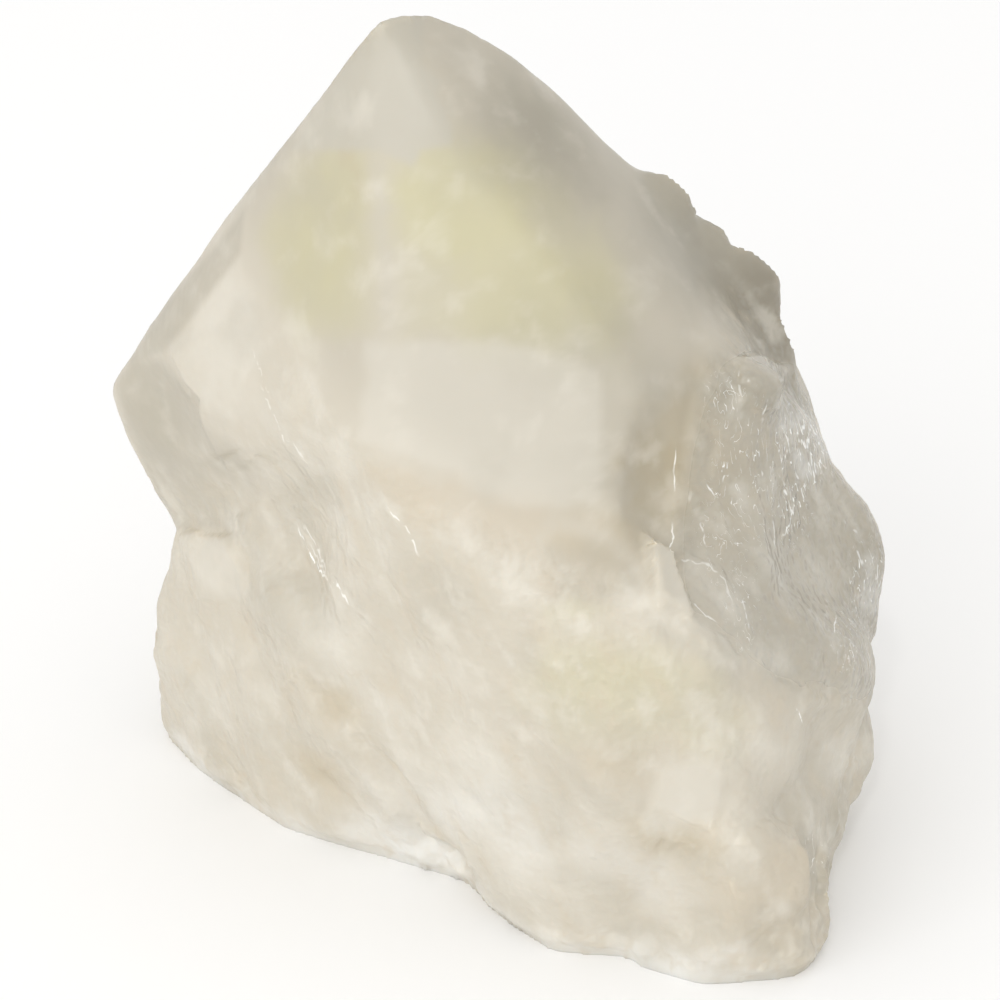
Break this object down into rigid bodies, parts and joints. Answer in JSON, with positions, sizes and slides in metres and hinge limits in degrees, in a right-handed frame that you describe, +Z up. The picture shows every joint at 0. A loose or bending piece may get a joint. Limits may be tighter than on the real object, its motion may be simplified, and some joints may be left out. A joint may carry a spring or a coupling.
{
  "type": "polished milky quartz point",
  "caption": "Standing quartz point with hand-polished faces meeting in a blunt tip, rough broken sides below and a sawn flat base.",
  "frame": {"origin": "middle of the bounding box, on the plane of the sawn base", "axes": "+Z up towards the tip, -Y towards the side with the largest polished face, +X to that side's right"},
  "size_m": [0.0864, 0.071, 0.0994],
  "materials": {
    "quartz": "milky cream quartz, polished to a soft gloss on the tip faces and glassy where broken"
  },
  "bodies": {
    "root": {"quartz_point": "quartz"}
  },
  "joints": []
}
